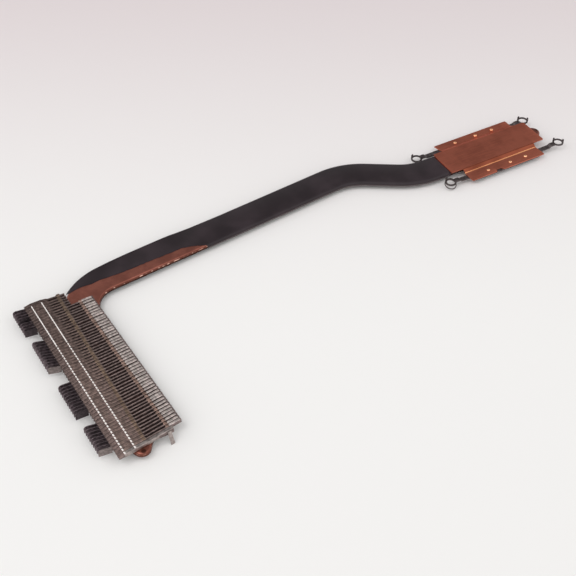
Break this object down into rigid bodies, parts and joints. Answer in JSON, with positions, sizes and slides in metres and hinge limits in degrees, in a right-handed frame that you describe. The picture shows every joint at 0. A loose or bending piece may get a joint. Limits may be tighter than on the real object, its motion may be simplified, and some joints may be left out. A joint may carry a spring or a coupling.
{
  "type": "laptop processor heatsink",
  "caption": "Flat laptop heatsink: a bent, flattened copper heat pipe carries heat from a sprung contact plate to a stack of folded exhaust fins.",
  "frame": {"origin": "centre of the contact block's lower face, which presses on the processor", "axes": "+X along the cover plate, away from the fins; +Y from the near spring arm to the far one; +Z away from the processor"},
  "size_m": [0.2067, 0.0849, 0.0046],
  "materials": {
    "block_copper": "machined copper",
    "pipe_copper": "drawn copper, tarnished",
    "black_film": "semi-gloss",
    "plate_copper": "pressed copper",
    "spring_steel": "dull",
    "rivet_metal": "bright head",
    "wire_steel": "dull",
    "end_fin_metal": "plated copper sheet",
    "fin_metal": "plated copper sheet"
  },
  "bodies": {
    "root": {"contact_block": "block_copper", "heat_pipe": "pipe_copper", "pipe_film": "black_film", "cover_plate": "plate_copper", "near_spring_arm": "spring_steel", "far_spring_arm": "spring_steel", "rivets": "rivet_metal", "screw_retainer": "wire_steel", "end_fin": "end_fin_metal", "plain_fins_d": "fin_metal", "tab_fins_d": "fin_metal", "plain_fins_c": "fin_metal", "tab_fins_c": "fin_metal", "plain_fins_b": "fin_metal", "tab_fins_b": "fin_metal", "plain_fins_a": "fin_metal", "tab_fins_a": "fin_metal", "short_fins": "fin_metal"}
  },
  "joints": []
}
